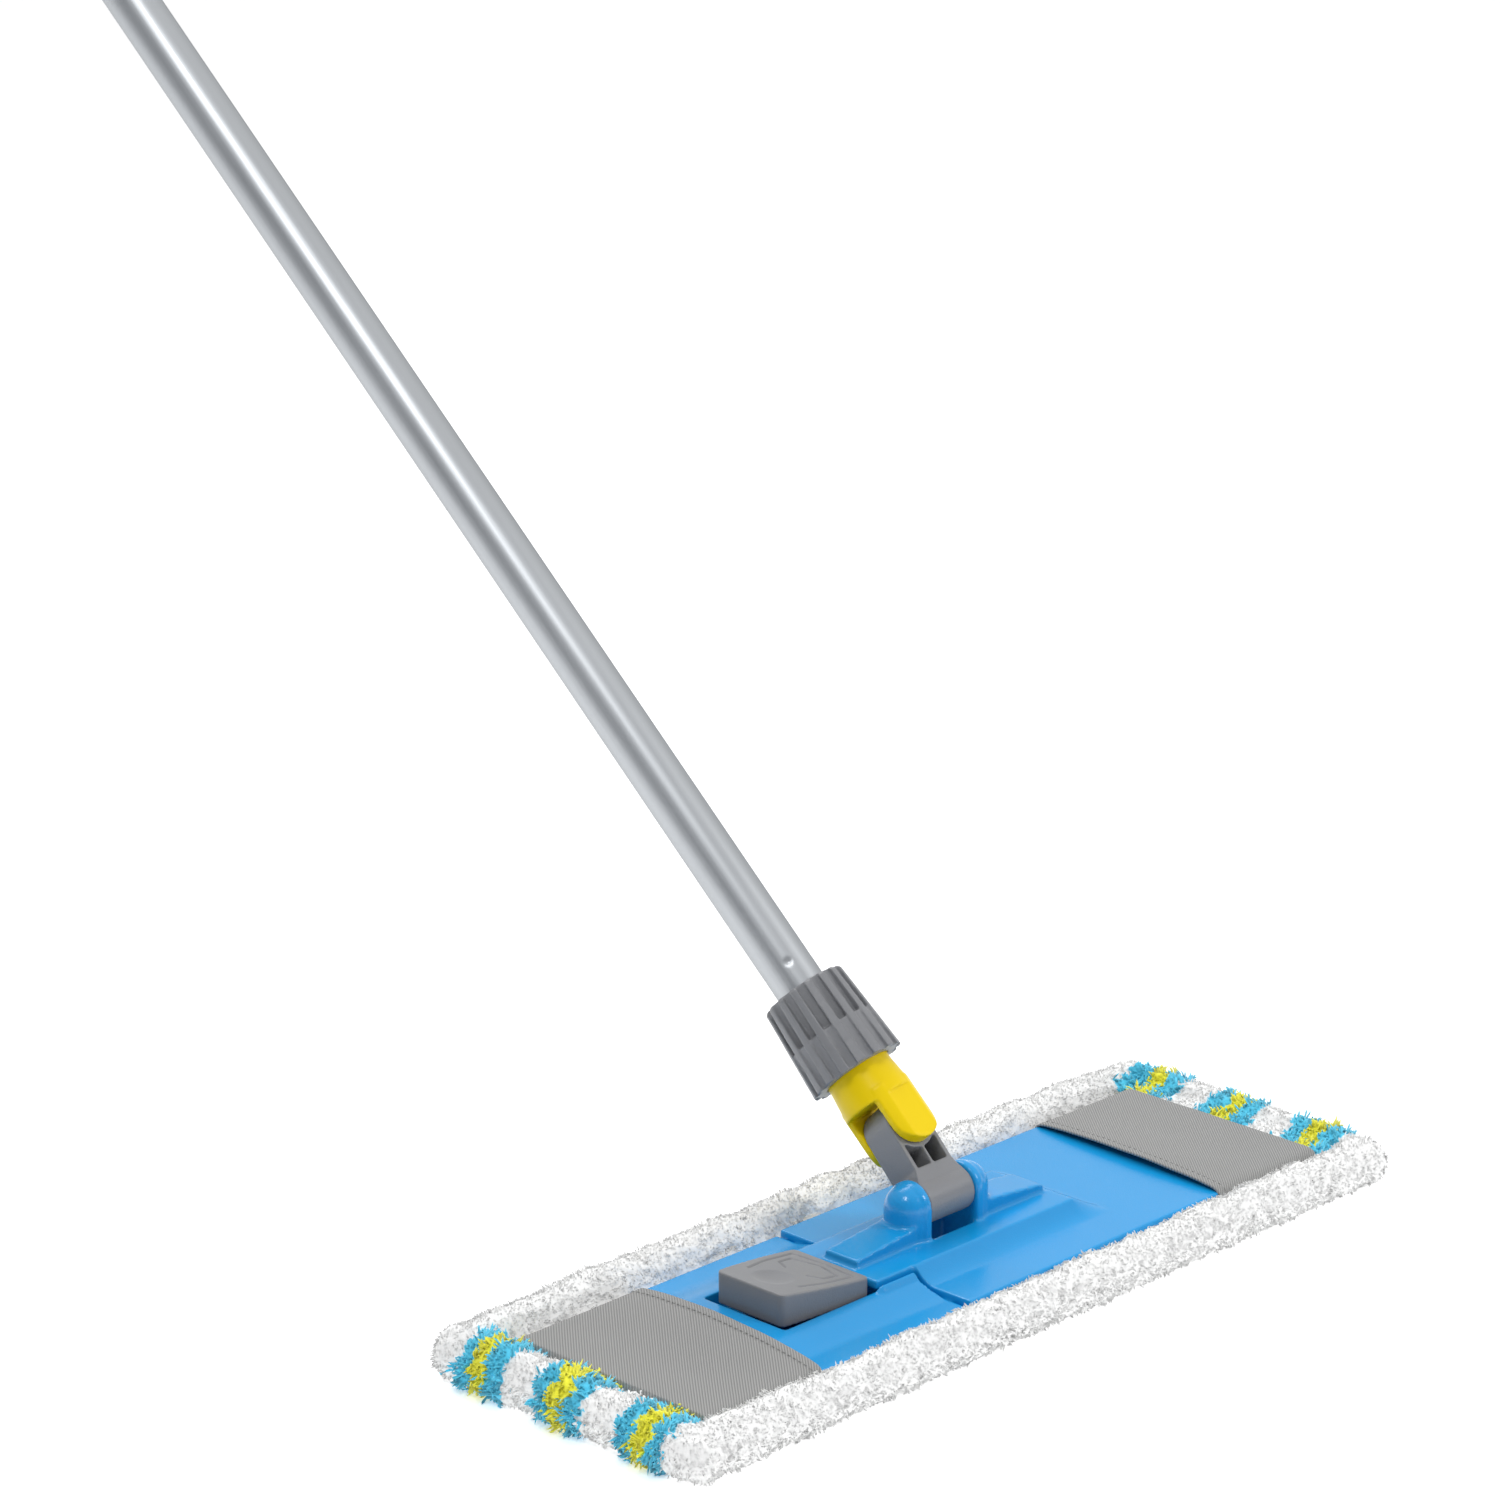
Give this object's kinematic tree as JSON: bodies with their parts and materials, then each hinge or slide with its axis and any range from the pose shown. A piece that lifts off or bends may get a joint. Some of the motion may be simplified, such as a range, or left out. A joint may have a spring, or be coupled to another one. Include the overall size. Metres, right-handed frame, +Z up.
{
  "type": "flat mop",
  "caption": "Flat mop: slip-on microfibre pad on a two-wing holder that folds at a pedal, with a two-axis swivel, locking collar and tubular handle.",
  "frame": {"origin": "on the floor under the pad, straight below the middle of the clevis", "axes": "+X along the holder towards the fixed wing, +Y to the back, where the handle leans, +Z up"},
  "size_m": [0.429, 0.9991, 0.9884],
  "materials": {
    "blue_plastic": "satin moulded",
    "grey_plastic": "fine matte",
    "yellow_plastic": "satin moulded",
    "handle_metal": "satin silver",
    "pin_steel": "drawn wire",
    "white_pile": "looped microfibre pile",
    "grey_twill": "woven twill",
    "white_cloth": "plain weave"
  },
  "bodies": {
    "holder": {"right_wing": "blue_plastic", "fold_hinge_pins": "pin_steel", "clevis_pin": "pin_steel", "pad_right_half": "white_pile", "pad_centre_strip": "white_pile", "right_pocket": "grey_twill", "pad_right_backing": "white_cloth"},
    "folding_wing": {"left_wing": "blue_plastic", "pedal_pivot_pin": "pin_steel", "pedal_return_spring": "pin_steel", "pad_left_half": "white_pile", "left_pocket": "grey_twill", "pad_left_backing": "white_cloth"},
    "pedal": {"release_pedal": "grey_plastic"},
    "link": {"swivel_link": "grey_plastic", "fork_pin": "pin_steel"},
    "handle": {"handle_fork": "yellow_plastic", "handle_tube": "handle_metal", "tube_plug": "grey_plastic", "handle_end_cap": "grey_plastic"},
    "collar": {"locking_collar": "grey_plastic"}
  },
  "joints": [
    {"name": "wing_fold", "type": "hinge", "parent": "holder", "child": "folding_wing", "pos_m": [-0.0385, 0, 0.0109], "axis": [0, -1, 0], "range_deg": [0, 80], "deforming": ["pad_centre_strip"]},
    {"name": "pedal_press", "type": "hinge", "parent": "folding_wing", "child": "pedal", "pos_m": [-0.072, 0, 0.0146], "axis": [0, -1, 0], "range_deg": [0, 9], "stiffness_Nm_per_rad": 0.6, "springref_deg": -5.73, "deforming": ["pedal_return_spring"]},
    {"name": "handle_lean", "type": "hinge", "parent": "holder", "child": "link", "pos_m": [0, 0, 0.0363], "axis": [-1, 0, 0], "range_deg": [-119, 31]},
    {"name": "handle_tilt", "type": "hinge", "parent": "link", "child": "handle", "pos_m": [0, 0.02231, 0.05924], "axis": [0, -0.7169, 0.6972], "range_deg": [-70, 62]},
    {"name": "collar_turn", "type": "hinge", "parent": "handle", "child": "collar", "pos_m": [-0.00384, 0.05706, 0.09498], "axis": [-0.0767, 0.6951, 0.7148], "range_deg": [0, 90]}
  ]
}
